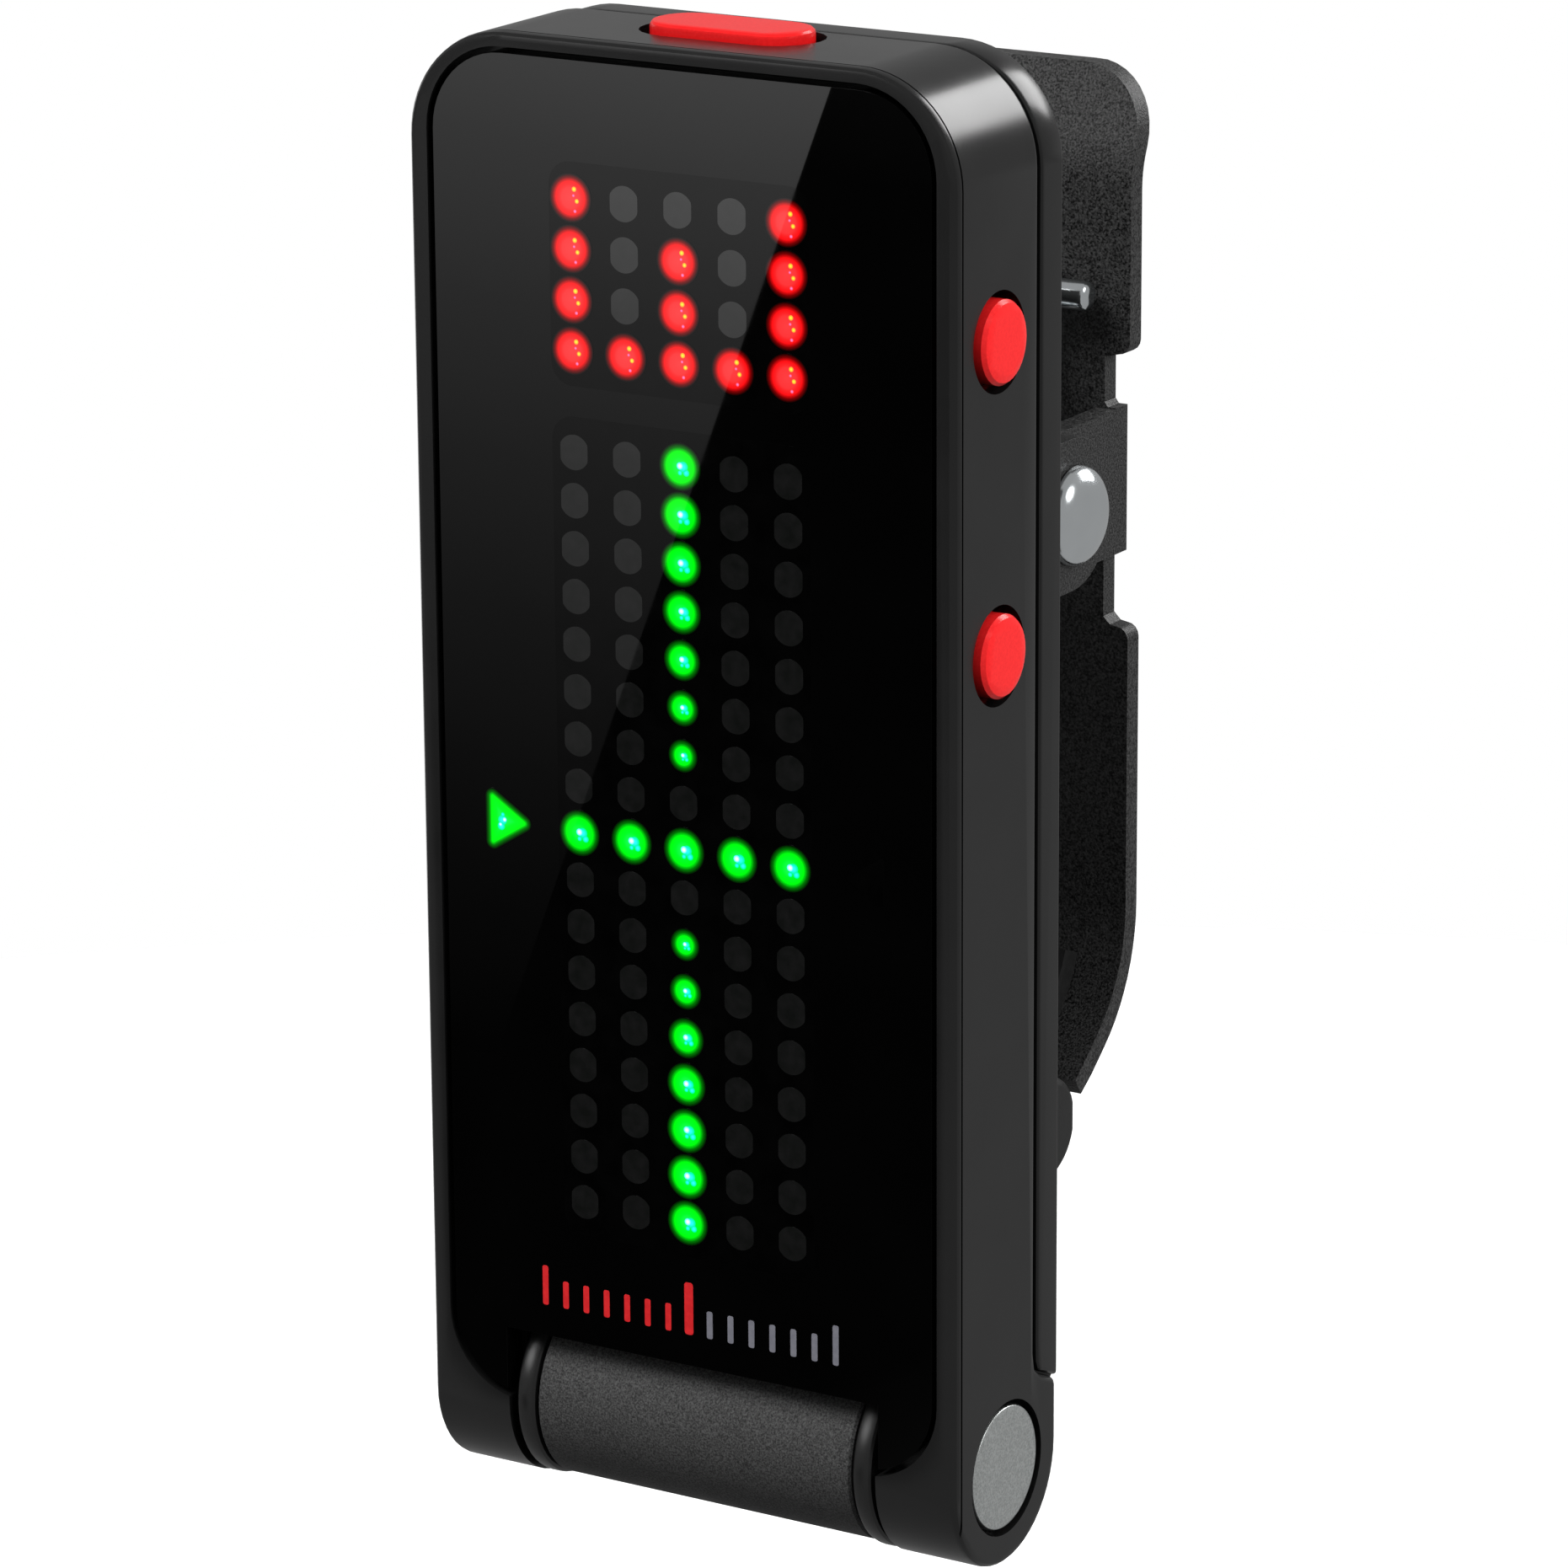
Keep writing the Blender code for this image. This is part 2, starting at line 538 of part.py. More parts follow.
def clamp_pin(mats, clip):
    """Riveted pin: a domed head at each end, just clear of the front arm's ears."""
    outer = REAR_EAR_OUT + GAP + FRONT_EAR + 0.1
    rim = outer + 0.04
    right = [(outer, 0.97), (outer, RIVET_R), (rim, RIVET_R)]
    for i in range(1, 9):
        a = math.radians(90 - 85 * i / 8)
        right.append((rim + RIVET_DOME * math.cos(a), RIVET_R * math.sin(a)))
    left = [(-d, r) for d, r in reversed(right)]
    pin = turned(left + right, (PIVOT_Y, PIVOT_Z), "X", 40)
    add("clamp_pin", pin, mats["steel"], clip)
    sleeve = tube_ring(-5.2, 5.2, 1.2, 1.45, (PIVOT_Y, PIVOT_Z), 28)
    add("spring_sleeve", sleeve, mats["plastic"], clip)


def tangent_angle(target):
    """Angle on the coil where a straight leg leaves it for `target`."""
    dy, dz = target[0] - PIVOT_Y, target[1] - PIVOT_Z
    reach = math.hypot(dy, dz)
    return math.atan2(dz, dy), math.acos(COIL_R / reach)


def torsion_spring(mat, clip):
    """Wire coil round the clamp pin; one leg bears on each arm's lever end."""
    rear_end = (20.6, 45.3)
    front_end = (10.5, 45.3)
    half, foot = 3.2, 5.35
    aim, spread = tangent_angle(rear_end)
    start = aim - spread
    aim, spread = tangent_angle(front_end)
    end = aim + spread
    turns = 5
    sweep = end - start + 2 * math.pi * turns
    steps = 12 * turns + 6
    points = [(foot, *rear_end), (half + 0.5, *rear_end), (half, rear_end[0], rear_end[1] - 0.5)]
    for i in range(steps + 1):
        a = start + sweep * i / steps
        x = half - 2 * half * i / steps
        points.append((x, PIVOT_Y + COIL_R * math.cos(a), PIVOT_Z + COIL_R * math.sin(a)))
    points += [(-half, front_end[0], front_end[1] - 0.5), (-half - 0.5, *front_end), (-foot, *front_end)]
    curve = bpy.data.curves.new("torsion_spring", "CURVE")
    curve.dimensions = "3D"
    curve.bevel_depth = WIRE_R * MM
    curve.bevel_resolution = 2
    curve.use_fill_caps = True
    spline = curve.splines.new("POLY")
    spline.points.add(len(points) - 1)
    for point, place in zip(spline.points, points):
        point.co = (*(Vector(place) * MM), 1.0)
    curve.materials.append(mat)
    obj = bpy.data.objects.new("torsion_spring", curve)
    bpy.context.scene.collection.objects.link(obj)
    obj.parent = clip
    return obj


def jaw_pads(mat, clip, axis, pivot):
    nose_y, nose_z, nose_r = 15.85, 13.0, 2.05
    base = FRONT_ARM_Y + SHEET + 0.28
    profile = [(base, 18.2), (base, 7.6)]
    profile += arc(nose_y, nose_z, nose_r, -62, -16, 5)
    profile += arc(nose_y, nose_z, nose_r, 16, 66, 5)
    pad = add("front_jaw_pad", solid(profile, (-6.9, 6.9), "X"), mat, clip)
    soften(pad, 0.3, 2, 50)
    inner = rear_path(SHEET + 0.28, 0.4)[:8]
    outer = rear_path(SHEET + 1.35, 0.4)[:8]
    rear = solid(inner + list(reversed(outer)), (-5.2, 5.2), "X")
    add("rear_jaw_pad", rear, mat, axis, pivot)


# ---------------------------------------------------------------- assembly
def materials():
    return {
        "gloss": material("gloss_housing", BLACK, 0.28),
        "plastic": material("satin_plastic", BLACK, 0.4),
        "cast": material("grained_casting", BLACK, 0.55),
        "coated": material("coated_sheet_steel", BLACK, 0.6, 0.3),
        "window": material("smoked_window", (0.004, 0.004, 0.005), 0.06),
        "red": material("red_keys", RED, 0.35),
        "steel": material("bright_steel", STEEL, 0.22, 1.0),
        "aluminium": material("blasted_aluminium", STEEL, 0.42, 1.0),
        "rubber": material("black_rubber", (0.02, 0.02, 0.02), 0.75),
        "matrix": material("dot_matrix", (0.03, 0.05, 0.03), 0.5),
        "board": material("circuit_board_green", (0.02, 0.12, 0.05), 0.5),
        "chip": material("chip_resin", (0.015, 0.015, 0.015), 0.6),
        "brass": material("sensor_brass", (0.70, 0.50, 0.20), 0.35, 1.0),
    }


def main():
    clear_scene()
    mats = materials()
    assembly = empty("assembly", (0, -DEPTH / 2, 0))
    half = HEAD_WIDTH / 2

    head_axis = empty("head_axis", (0, EYE_R, EYE_R), assembly)
    head = empty("head_origin", (0, -EYE_R, -EYE_R), head_axis)
    frame = front_frame(mats["gloss"], head)
    screw_bosses(frame)
    back_shell(mats["gloss"], head)
    window(mats["window"], head)
    display(mats, head)
    electronics(mats, head)
    shell_screws(mats["steel"], head)
    battery_cover(mats["gloss"], empty("battery_cover_axis", (0, 0, CELL_Z), head))
    for name, z in zip(("upper_button", "lower_button"), BUTTON_Z):
        key_axis = empty(name + "_axis", (half, BUTTON_Y, z), head)
        round_button(name, mats["red"], key_axis)
    top_axis = empty("power_button_axis", (0, TOP_BUTTON_Y, HEAD_HEIGHT), head)
    top_button(mats["red"], top_axis)

    hinge(mats, head, assembly)
    front_arm(mats["coated"], assembly)
    arm_screws(mats["steel"], assembly)
    clamp_pin(mats, assembly)
    torsion_spring(mats["steel"], assembly)
    pivot = (0, PIVOT_Y, PIVOT_Z)
    rear_arm(mats["coated"], assembly, pivot)
    jaw_pads(mats["rubber"], assembly, assembly, pivot)


main()
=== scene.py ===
"""Looks of the clip-on tuner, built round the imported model. Metres, +Z up, the display faces -Y."""

import math
import bmesh
import bpy
from mathutils import Matrix, Vector

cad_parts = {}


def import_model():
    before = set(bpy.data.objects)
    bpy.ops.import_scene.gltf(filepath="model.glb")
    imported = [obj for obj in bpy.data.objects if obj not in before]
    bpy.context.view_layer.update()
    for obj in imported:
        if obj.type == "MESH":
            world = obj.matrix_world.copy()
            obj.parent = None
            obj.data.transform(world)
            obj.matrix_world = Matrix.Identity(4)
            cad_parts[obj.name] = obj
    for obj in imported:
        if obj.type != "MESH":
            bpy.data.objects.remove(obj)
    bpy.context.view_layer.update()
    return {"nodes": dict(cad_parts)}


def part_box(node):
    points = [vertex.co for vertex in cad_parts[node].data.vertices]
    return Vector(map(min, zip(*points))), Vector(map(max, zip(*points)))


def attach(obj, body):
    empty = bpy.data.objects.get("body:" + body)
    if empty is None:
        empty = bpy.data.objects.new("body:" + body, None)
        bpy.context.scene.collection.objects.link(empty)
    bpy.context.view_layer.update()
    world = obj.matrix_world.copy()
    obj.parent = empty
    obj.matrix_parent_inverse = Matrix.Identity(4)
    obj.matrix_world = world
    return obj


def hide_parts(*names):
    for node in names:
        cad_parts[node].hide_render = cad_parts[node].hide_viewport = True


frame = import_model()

MM = 0.001

# Camera, worked out from the object's own perspective in the photograph
CAMERA_PLACE = Vector((133.849, -223.177, 101.838)) * MM
CAMERA_AZIMUTH = 31.521
CAMERA_ELEVATION = 16.042
CAMERA_ROLL = -0.363
CAMERA_LENS = 160.54
SENSOR = 36.0

# Lamp matrices behind the window, in millimetres
COLUMNS = 5
COLUMN_PITCH = 2.32
UPPER_ROWS = 4
UPPER_PITCH = 1.906
UPPER_TOP_Z = 51.69
LOWER_ROWS = 17
LOWER_PITCH = 1.8375
LOWER_TOP_Z = 42.11
LAMP_R = 0.66
GLOW = 1.40  # radius of the glow, in lamp radii
GLOW_RINGS = (1.0, 0.86, 0.78, 0.72, 0.66, 0.52, 0.40, 0.2)  # from the glow's edge inwards, as shares of its radius
MIDDLE_ROW = 8
RED_PATTERN = ("#...#", "#.#.#", "#.#.#", "#####")
UNLIT_R = 0.675
UNLIT_FLAT = 0.60  # half width between the flattened sides
# Bright spots in a lit lamp: X and Z from its middle, and radius
RED_DIES = ((0.17, 0.34, 0.10), (0.285, -0.10, 0.09))
RED_WIRES = ((0.14, 0.10, 0.06), (0.20, -0.48, 0.07))
GREEN_DIES = ((0.0, 0.04, 0.14),)
GREEN_WIRES = ((0.14, 0.02, 0.20), (0.27, -0.20, 0.13), (0.0, -0.22, 0.09))
ARROW_DIES = ((-0.17, 0.03, 0.09), (-0.36, -0.18, 0.07))
ARROW_WIRES = ((-0.27, 0.0, 0.19), (-0.33, -0.24, 0.16), (-0.25, 0.22, 0.08))
# Sizes of the lit lamps in the middle column, from its ends to the middle row
COLUMN_SIZES = (1.0, 1.0, 0.98, 0.93, 0.84, 0.70, 0.60)
PANEL_MARGIN = (0.95, 1.35)  # X and Z, past the outer lamps' middles
PANEL_CORNER = 0.9
ARROW_OFFSET = 7.85
ARROW_HALF = 0.88
ARROW_DEPTH = 1.42
ARROW_CORNER = 0.08
# Rings of the lit arrow: share of the triangle's size, radius of its corners, and reach of the glow
ARROW_GLOW = (
    (1.0, 0.34, 1.0),
    (1.0, 0.22, 0.86),
    (1.0, 0.15, 0.78),
    (1.0, 0.09, 0.70),
    (0.93, 0.07, 0.60),
    (0.6, 0.05, 0.45),
)

# How far the printed and lit layers stand proud of the window's face, and how far each is let in
PANEL_PROUD = 0.004
LAMP_PROUD = 0.010
DIE_PROUD = 0.014
UPPER_DIE = 0.004  # the small bright spots lie above the wide ones
LAYER_ROOT = 0.05

# Tuning scale printed under the display
TICK_COUNT = 15
TICK_PITCH = 0.93
TICK_WIDTH = 0.26
TICK_WIDTH_ZERO = 0.39
TICKS_TO_LONG = 7  # from the zero tick to a longer one
TICK_HEIGHT = 1.1
TICK_HEIGHT_LONG = 1.6
TICK_HEIGHT_ZERO = 2.1
TICK_BASE_Z = 8.2

FACE_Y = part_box("window")[0].y / MM
HEAD_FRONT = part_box("front_frame")[0].y / MM

# Thin dark sheets in the seam above the feet, painted shade that closes the seam: depth behind the front face, and
# height
SEAM_SHADE_LINE = ((6.10, 7.90), (6.24, 7.20), (6.56, 6.78), (7.98, 6.19))
SEAM_SHADE_HALF = 0.10
SEAM_SHADE_SPAN = (8.5, 11.35)

# Torsion spring round the clamp pin: pin and leg ends in Y and Z, then the wire's own sizes
PIN_PLACE = (4.15, 37.75)
REAR_LEG_END = (8.45, 45.3)
FRONT_LEG_END = (-1.65, 45.3)
COIL_R = 2.3
COIL_HALF = 3.2
COIL_TURNS = 5
COIL_STEPS = 24  # to a turn
WIRE_R = 0.6
LEG_BEND = 1.1
BEND_STEPS = 8
FOOT_END = 5.85
REAR_OVERLAP = 0.9  # how far the rear leg's piece runs round the coil, in radians

# CAD nodes whose finish isn't their slot's, and those whose edges are eased, with the width in millimetres
# The power button takes a darker, less shiny copy of the red keys' finish: painted shade that holds back the
# stronger light falling on its top face
OWN_FINISH = {"power_button": "top_key_painted_shade"}
EASED = {
    "front_arm": 0.14,
    "rear_arm": 0.14,
    "window": 0.09,
    "hinge_cap_left": 0.07,
    "hinge_cap_right": 0.07,
}
WELD = 0.0005
SHARP_ANGLE = math.radians(28)
EASED_ANGLE = math.radians(40)

# Studio
FLOOR_Z = -56.0  # the head hangs above it when it is tilted right down
FLOOR_R = 250.0
WHITE = (1.0, 1.0, 1.0)
ROOM = 0.30  # what glossy surfaces mirror
# The part of the room that the window mirrors is dark: direction, then cosines where it starts and is darkest
DARK_CORNER = (-0.514, -0.8125, -0.2756)
DARK_START = 0.9865
DARK_FULL = 0.9943
DARK_ROOM = 0.003
# What matt surfaces see: radiance at two heights on the unit sphere
SKY_LOW = 0.02
SKY_HIGH = 0.45
SKY_HEIGHTS = (-0.6, 0.8)
# Lit cards that only glossy surfaces see: direction, inner and outer half angle in degrees, radiance
CARDS = (
    ((-0.50, -0.72, 0.47), 9.0, 13.0, 4.5),
    ((0.78, -0.08, 0.63), 10.0, 16.0, 2.6),
    ((-0.93, 0.24, -0.28), 12.0, 22.0, 1.5),
)
# Softboxes: aim, direction, size, power, direction of the first side, and whether glossy surfaces mirror it
LIGHT_DISTANCE = 0.7
OBJECT_MIDDLE = (0.0, 0.0, 0.03)
LIGHTS = {
    "top_softbox": (OBJECT_MIDDLE, (-0.28, -0.56, 0.78), (0.34, 0.34), 5.8, (1.0, 0.0, 0.0), False),
    "right_softbox": (OBJECT_MIDDLE, (1.0, -0.10, 0.42), (0.4, 0.4), 4.5, (1.0, 0.0, 0.0), False),
    "back_softbox": ((0.0105, -0.008, 0.0565), (0.30, 0.82, 0.48), (0.31, 0.34), 2.2, (0.855, 0.0, -0.518), True),
}
# The glare on the window: its corners in X and Z on the window's face, with their shades, then how it dims
GLARE_CORNERS = ((7.2, 58.5, 1.0), (-8.6, 18.0, 0.0), (-40.0, 18.0, -0.05), (-40.0, 58.5, 0.9))
GLARE_CARD_Y = -500.0
GLARE_TOP = 1.39
GLARE_FALL = 3.2
GLARE_STOPS = 8


# ---------------------------------------------------------------- materials


class Nodes:
    """Short calls for the nodes of one material."""

    def __init__(self, name):
        self.material = bpy.data.materials.new(name)
        self.material.use_nodes = True
        self.tree = self.material.node_tree
        self.shader = self.tree.nodes["Principled BSDF"]
        self.place = self.tree.nodes.new("ShaderNodeTexCoord").outputs["Object"]

    def node(self, kind, **values):
        n = self.tree.nodes.new(kind)
        for key, value in values.items():
            setattr(n, key, value)
        return n

    def link(self, source, target):
        self.tree.links.new(source, target)

    def noise(self, size_mm, detail=3.0, roughness=0.5):
        n = self.node("ShaderNodeTexNoise")
        n.inputs["Scale"].default_value = 1.0 / (size_mm * MM)
        n.inputs["Detail"].default_value = detail
        n.inputs["Roughness"].default_value = roughness
        self.link(self.place, n.inputs["Vector"])
        return n.outputs["Fac"]

    def ramp(self, source, *stops):
        n = self.node("ShaderNodeValToRGB")
        elements = n.color_ramp.elements
        while len(elements) < len(stops):
            elements.new(0.5)
        for element, (position, colour) in zip(elements, stops):
            element.position = position
            element.color = (*colour, 1.0)
        self.link(source, n.inputs["Fac"])
        return n.outputs["Color"]

    def span(self, source, low, high):
        n = self.node("ShaderNodeMapRange")
        n.inputs["From Min"].default_value = 0.3
        n.inputs["From Max"].default_value = 0.7
        n.inputs["To Min"].default_value = low
        n.inputs["To Max"].default_value = high
        self.link(source, n.inputs["Value"])
        return n.outputs["Result"]

    def bump(self, source, strength, depth_mm, under=None):
        n = self.node("ShaderNodeBump")
        n.inputs["Strength"].default_value = strength
        n.inputs["Distance"].default_value = depth_mm * MM
        self.link(source, n.inputs["Height"])
        if under is not None:
            self.link(under, n.inputs["Normal"])
        return n.outputs["Normal"]

    def set(self, **values):
        for key, value in values.items():
            self.shader.inputs[key.replace("_", " ")].default_value = value


def grained(name, dark, light, rough, grain_mm, depth_mm, metallic=0.0, specular=0.5, strength=0.5):
    """A moulded, cast, coated or metal surface: two tones, a roughness that varies, and a fine grain."""
    m = Nodes(name)
    grain = m.noise(grain_mm, 2.0, 0.6)
    broad = m.noise(grain_mm * 25.0, 3.0)
    m.link(m.ramp(grain, (0.35, dark), (0.68, light)), m.shader.inputs["Base Color"])
    m.link(m.span(broad, *rough), m.shader.inputs["Roughness"])
    m.link(m.bump(grain, strength, depth_mm), m.shader.inputs["Normal"])
    m.shader.inputs["Metallic"].default_value = metallic
    m.shader.inputs["Specular IOR Level"].default_value = specular
    return m.material


def grey(value):
    return (value, value, value)


def hazed(name, haze_mm, dark, light, rough=None, detail=2.0, **values):
    """A smooth surface: faint blotches in its tone and, where rough is given, in its roughness."""
    m = Nodes(name)
    haze = m.noise(haze_mm, detail)
    m.link(m.ramp(haze, (0.3, dark), (0.7, light)), m.shader.inputs["Base Color"])
    if rough is not None:
        m.link(m.span(haze, *rough), m.shader.inputs["Roughness"])
    m.set(**values)
    return m


def housing_material():
    m = hazed("housing_gloss_finish", 3.0, grey(0.0048), grey(0.0062), (0.21, 0.24), 3.0, Specular_IOR_Level=0.5)
    m.link(m.bump(m.noise(0.06, 2.0), 0.2, 0.001), m.shader.inputs["Normal"])
    return m.material


def lit_material(name, strength, *stops):
    """Light falls off with the mesh's own "reach" value: 0 at a lamp's middle, 1 at the glow's edge."""
    m = hazed(name, 6.0, grey(0.0006), grey(0.0010), Roughness=0.008, Specular_IOR_Level=0.5)
    reach = m.node("ShaderNodeAttribute", attribute_name="reach")
    m.link(m.ramp(reach.outputs["Fac"], *stops), m.shader.inputs["Emission Color"])
    m.set(Emission_Strength=strength)
    return m.material


def lamp_lights():
    """Red and green lamps, with a lit disc and a glow round it."""
    rim = 1.0 / GLOW
    red = lit_material(
        "red_lamp_light",
        1.25,
        (0.0, (0.97, 0.040, 0.043)),
        (rim * 0.58, (0.95, 0.030, 0.033)),
        (rim * 0.74, (1.0, 0.014, 0.016)),
        (rim * 0.90, (1.0, 0.006, 0.008)),
        (rim * 1.02, (0.55, 0.002, 0.003)),
        (rim * 1.16, (0.15, 0.0, 0.0005)),
        (rim * 1.30, (0.03, 0.0, 0.0)),
        (0.98, (0.0, 0.0, 0.0)),
    )
    green = lit_material(
        "green_lamp_light",
        1.25,
        (0.0, (0.01, 1.0, 0.10)),
        (rim * 0.55, (0.0, 1.0, 0.015)),
        (rim * 0.86, (0.0, 0.95, 0.004)),
        (rim * 0.98, (0.0, 0.50, 0.003)),
        (rim * 1.12, (0.0, 0.14, 0.001)),
        (rim * 1.28, (0.0, 0.03, 0.0)),
        (0.98, (0.0, 0.0, 0.0)),
    )
    return {"red_light": red, "green_light": green}


# Bright spots in the lamps: strength, then the colours of the middle and the edge
SPOTS = {
    "yellow_die": (1.4, (1.0, 0.85, 0.05), (1.0, 0.25, 0.03)),
    "violet_die": (1.2, (1.0, 0.25, 0.75), (1.0, 0.08, 0.12)),
    "white_die": (1.5, (1.0, 1.0, 1.0), (0.05, 1.0, 0.75)),
    "cyan_die": (1.3, (0.03, 0.95, 1.0), (0.0, 1.0, 0.35)),
}

# Smooth finishes: blotch size, dark and light tone, roughness from and to, noise detail, other values
SMOOTH_FINISHES = {
    "window": (6.0, grey(0.0006), grey(0.0010), (0.004, 0.010), 2.0, {"Specular_IOR_Level": 0.5}),
    "panel": (1.2, grey(0.0005), grey(0.0012), (0.006, 0.014), 3.0, {"Specular_IOR_Level": 0.42}),
    "unlit": (0.55, (0.0055, 0.0060, 0.0056), grey(0.0095), (0.006, 0.014), 2.0, {"Specular_IOR_Level": 1.0}),
    "bright_steel": (2.0, (0.84, 0.88, 0.90), (0.90, 0.94, 0.96), (0.14, 0.18), 2.0, {"Metallic": 1.0}),
}

# Grained finishes: dark and light tone, roughness from and to, grain size, grain depth, other values
GRAINED_FINISHES = {
    "dot_matrix": (grey(0.10), grey(0.14), (0.5, 0.6), 0.2, 0.01, {}),
    "board": ((0.006, 0.05, 0.018), (0.012, 0.09, 0.03), (0.25, 0.4), 0.5, 0.01, {}),
    "chip": (grey(0.018), grey(0.03), (0.5, 0.6), 0.08, 0.005, {}),
    "dark_steel": (grey(0.05), grey(0.09), (0.3, 0.42), 0.2, 0.002, {"metallic": 0.9}),
    "sensor_brass": ((0.55, 0.38, 0.12), (0.68, 0.5, 0.2), (0.25, 0.4), 0.2, 0.002, {"metallic": 1.0}),
    "red_keys": (
        (0.86, 0.014, 0.016), (0.94, 0.020, 0.021), (0.20, 0.26), 0.12, 0.0005, {"specular": 0.35, "strength": 0.2},
    ),
    # The red keys' plastic painted darker and with less specular for the power button: painted shade, not a
    # different plastic
    "top_key_painted_shade": (
        (0.60, 0.008, 0.009), (0.66, 0.011, 0.012), (0.20, 0.26), 0.12, 0.0005, {"specular": 0.20, "strength": 0.2},
    ),
    "grained_casting": (grey(0.018), grey(0.080), (0.5, 0.6), 0.075, 0.024, {"specular": 0.16}),
    "satin_plastic": (grey(0.006), grey(0.008), (0.26, 0.32), 0.1, 0.001, {"strength": 0.25}),
    "blasted_aluminium": ((0.62, 0.65, 0.64), (0.92, 0.95, 0.94), (0.30, 0.38), 0.08, 0.004, {"metallic": 1.0}),
    "coated_sheet": (grey(0.001), grey(0.050), (0.40, 0.50), 0.088, 0.034, {"specular": 0.3, "strength": 0.8}),
    "rubber": (grey(0.007), grey(0.012), (0.5, 0.6), 0.15, 0.006, {}),
    "red_print": ((0.62, 0.012, 0.016), (0.72, 0.02, 0.024), (0.3, 0.36), 0.2, 0.001, {}),
    "grey_print": ((0.16, 0.16, 0.19), (0.19, 0.19, 0.22), (0.3, 0.36), 0.2, 0.001, {}),
}


def materials():
    """Every finish, by the name that pieces and CAD slots ask for."""
    made = {"housing_gloss": housing_material(), **lamp_lights()}
    for key, (strength, middle, edge) in SPOTS.items():
        made[key] = lit_material(key + "_light", strength, (0.0, middle), (0.9, edge))
    for key, (haze_mm, dark, light, rough, detail, values) in SMOOTH_FINISHES.items():
        made[key] = hazed(key + "_finish", haze_mm, dark, light, rough, detail, **values).material
    for key, (dark, light, rough, grain_mm, depth_mm, values) in GRAINED_FINISHES.items():
        made[key] = grained(key + "_finish", dark, light, rough, grain_mm, depth_mm, **values)
    return made


# ---------------------------------------------------------------- mesh helpers


def mesh_object(name, bm, material):
    """An object in metres, made from a bmesh in millimetres."""
    mesh = bpy.data.meshes.new(name)
    bm.to_mesh(mesh)
    bm.free()
    mesh.transform(Matrix.Scale(MM, 4))
    mesh.materials.append(material)
    obj = bpy.data.objects.new(name, mesh)
    bpy.context.scene.collection.objects.link(obj)
    return obj


def piece(name, bm, material, body):
    """One shown piece, made from a bmesh in millimetres."""
    bmesh.ops.recalc_face_normals(bm, faces=bm.faces)
    obj = mesh_object(name, bm, material)
    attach(obj, body)
    return obj


def circle(x, z, r, steps=32):
    return [
        (x + r * math.cos(2 * math.pi * i / steps), z + r * math.sin(2 * math.pi * i / steps))
        for i in range(steps)
    ]


def rounded_rect(x0, x1, z0, z1, r, steps=8):
    corners = ((x1 - r, z0 + r, -90), (x1 - r, z1 - r, 0), (x0 + r, z1 - r, 90), (x0 + r, z0 + r, 180))
    points = []
    for cx, cz, start in corners:
        for i in range(steps + 1):
            a = math.radians(start + 90 * i / steps)
            points.append((cx + r * math.cos(a), cz + r * math.sin(a)))
    return points


def inlay(bm, rings, proud, reach=None):
    """A thin closed inlay in the window's face.

    rings are its outlines from the outside in, and the last one may be a single point. reach gives each ring's
    value of the glow attribute.
    """
    layer = bm.verts.layers.float.get("reach") or bm.verts.layers.float.new("reach")
    values = reach or [0.0] * len(rings)
    made = []
    for ring, value in zip(rings, values):
        loop = [bm.verts.new((x, FACE_Y - proud, z)) for x, z in ring]
        for v in loop:
            v[layer] = value
        made.append(loop)
    back = [bm.verts.new((x, FACE_Y + LAYER_ROOT, z)) for x, z in rings[0]]
    for v in back:
        v[layer] = values[0]
    for outer, inner in zip([back, *made], made):
        n = len(outer)
        if len(inner) == 1:
            for i in range(n):
                bm.faces.new((outer[i], outer[(i + 1) % n], inner[0]))
        else:
            for i in range(n):
                bm.faces.new((outer[i], outer[(i + 1) % n], inner[(i + 1) % n], inner[i]))
    if len(made[-1]) > 1:
        bm.faces.new(made[-1])
    bm.faces.new(list(reversed(back)))


def lamp_places(top_z, rows, pitch):
    """Each lamp's row, column, X and Z."""
    middle = (COLUMNS - 1) / 2
    return [
        (row, column, (column - middle) * COLUMN_PITCH, top_z - row * pitch)
        for row in range(rows)
        for column in range(COLUMNS)
    ]


def lit_sizes():
    """The size of each lit lamp in the lower matrix, by row and column."""
    sizes = {(MIDDLE_ROW, column): 1.0 for column in range(COLUMNS)}
    for i, size in enumerate(COLUMN_SIZES):
        sizes[(i, 2)] = size
        sizes[(LOWER_ROWS - 1 - i, 2)] = size
    return sizes


def glow_lamp(bm, x, z, size):
    """A lit lamp: its disc takes the size, and the glow round it keeps its width."""
    disc = LAMP_R * size
    rim = 1.0 / GLOW
    rings = []
    for share in GLOW_RINGS:
        if share <= rim:
            r = share / rim * disc
        else:
            r = disc + (share - rim) / (1 - rim) * LAMP_R * (GLOW - 1)
        rings.append(circle(x, z, r))
    inlay(bm, [*rings, [(x, z)]], LAMP_PROUD, [*GLOW_RINGS, 0.0])


def die(bm, x, z, r, above=0.0):
    """A bright spot in a lit lamp."""
    rings = [circle(x, z, r, 14), circle(x, z, r * 0.5, 14), [(x, z)]]
    inlay(bm, rings, DIE_PROUD + above, [1.0, 0.5, 0.0])


def dies(bm, places, x, z, size=1.0, above=0.0):
    for dx, dz, r in places:
        die(bm, x + dx * size, z + dz * size, r * size, above)


def unlit_lamp(bm, x, z):
    """A dark lamp, with its left and right sides a little flattened."""
    ring = [(min(max(px, x - UNLIT_FLAT), x + UNLIT_FLAT), pz) for px, pz in circle(x, z, UNLIT_R, 36)]
    inlay(bm, [ring, [(x, z)]], LAMP_PROUD)


